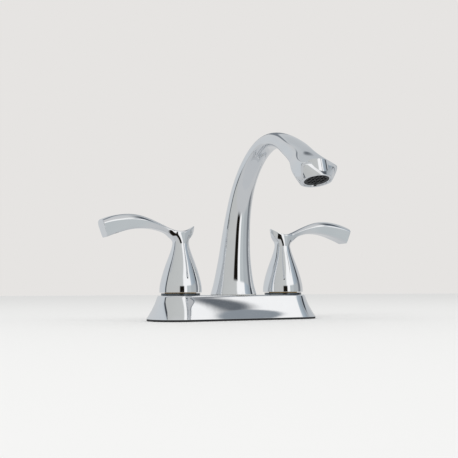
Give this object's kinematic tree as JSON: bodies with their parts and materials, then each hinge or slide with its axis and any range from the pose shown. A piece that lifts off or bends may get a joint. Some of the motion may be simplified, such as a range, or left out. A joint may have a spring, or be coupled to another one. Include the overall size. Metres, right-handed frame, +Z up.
{
  "type": "centerset bathroom faucet",
  "caption": "Polished faucet on a flared oblong base plate: high arched swivel spout and two bell-shaped lever handles on quarter-turn ceramic valves.",
  "frame": {"origin": "on the deck, at the centre of the gasket's underside", "axes": "+X towards the cold (right-hand) handle, -Y towards the user and the spout's outlet, +Z up from the deck"},
  "size_m": [0.2458, 0.1786, 0.205],
  "materials": {
    "polished_chrome": "polished",
    "dark_ring": "polished",
    "brass": "machined",
    "copper": "drawn tube",
    "ceramic": "lapped",
    "black_rubber": "matt",
    "steel": "stainless",
    "white_plastic": "moulded",
    "dark_plastic": "moulded"
  },
  "bodies": {
    "base": {"base_plate": "polished_chrome", "base_gasket": "black_rubber", "spout_hub": "brass", "spout_glide_ring": "white_plastic", "hot_valve_body": "brass", "hot_cross_tube": "copper", "hot_seat_seal": "black_rubber", "hot_fixed_disc": "ceramic", "hot_cartridge_body": "brass", "hot_bonnet_nut": "brass", "hot_skirt_ring": "dark_ring", "hot_mounting_washer": "steel", "hot_mounting_nut": "white_plastic", "cold_valve_body": "brass", "cold_cross_tube": "copper", "cold_seat_seal": "black_rubber", "cold_fixed_disc": "ceramic", "cold_cartridge_body": "brass", "cold_bonnet_nut": "brass", "cold_skirt_ring": "dark_ring", "cold_mounting_washer": "steel", "cold_mounting_nut": "white_plastic"},
    "spout": {"spout": "polished_chrome", "spout_spigot": "brass", "spout_lower_o_ring": "black_rubber", "spout_upper_o_ring": "black_rubber", "spout_retaining_clip": "white_plastic", "aerator_housing": "polished_chrome", "aerator_insert": "dark_plastic", "aerator_screen": "steel", "aerator_washer": "black_rubber"},
    "hot_handle": {"hot_handle": "polished_chrome", "hot_stem": "steel", "hot_moving_disc": "ceramic", "hot_stem_o_ring": "black_rubber", "hot_set_screw": "steel"},
    "cold_handle": {"cold_handle": "polished_chrome", "cold_stem": "steel", "cold_moving_disc": "ceramic", "cold_stem_o_ring": "black_rubber", "cold_set_screw": "steel"}
  },
  "joints": [
    {"name": "hot_handle_turn", "type": "hinge", "parent": "base", "child": "hot_handle", "pos_m": [-0.0508, 0, 0.03], "axis": [0, 0, 1], "range_deg": [0, 90]},
    {"name": "cold_handle_turn", "type": "hinge", "parent": "base", "child": "cold_handle", "pos_m": [0.0508, 0, 0.03], "axis": [0, 0, 1], "range_deg": [-90, 0]},
    {"name": "spout_swivel", "type": "hinge", "parent": "base", "child": "spout", "pos_m": [0, 0, 0.03], "axis": [0, 0, 1], "range_deg": [-60, 60]}
  ]
}
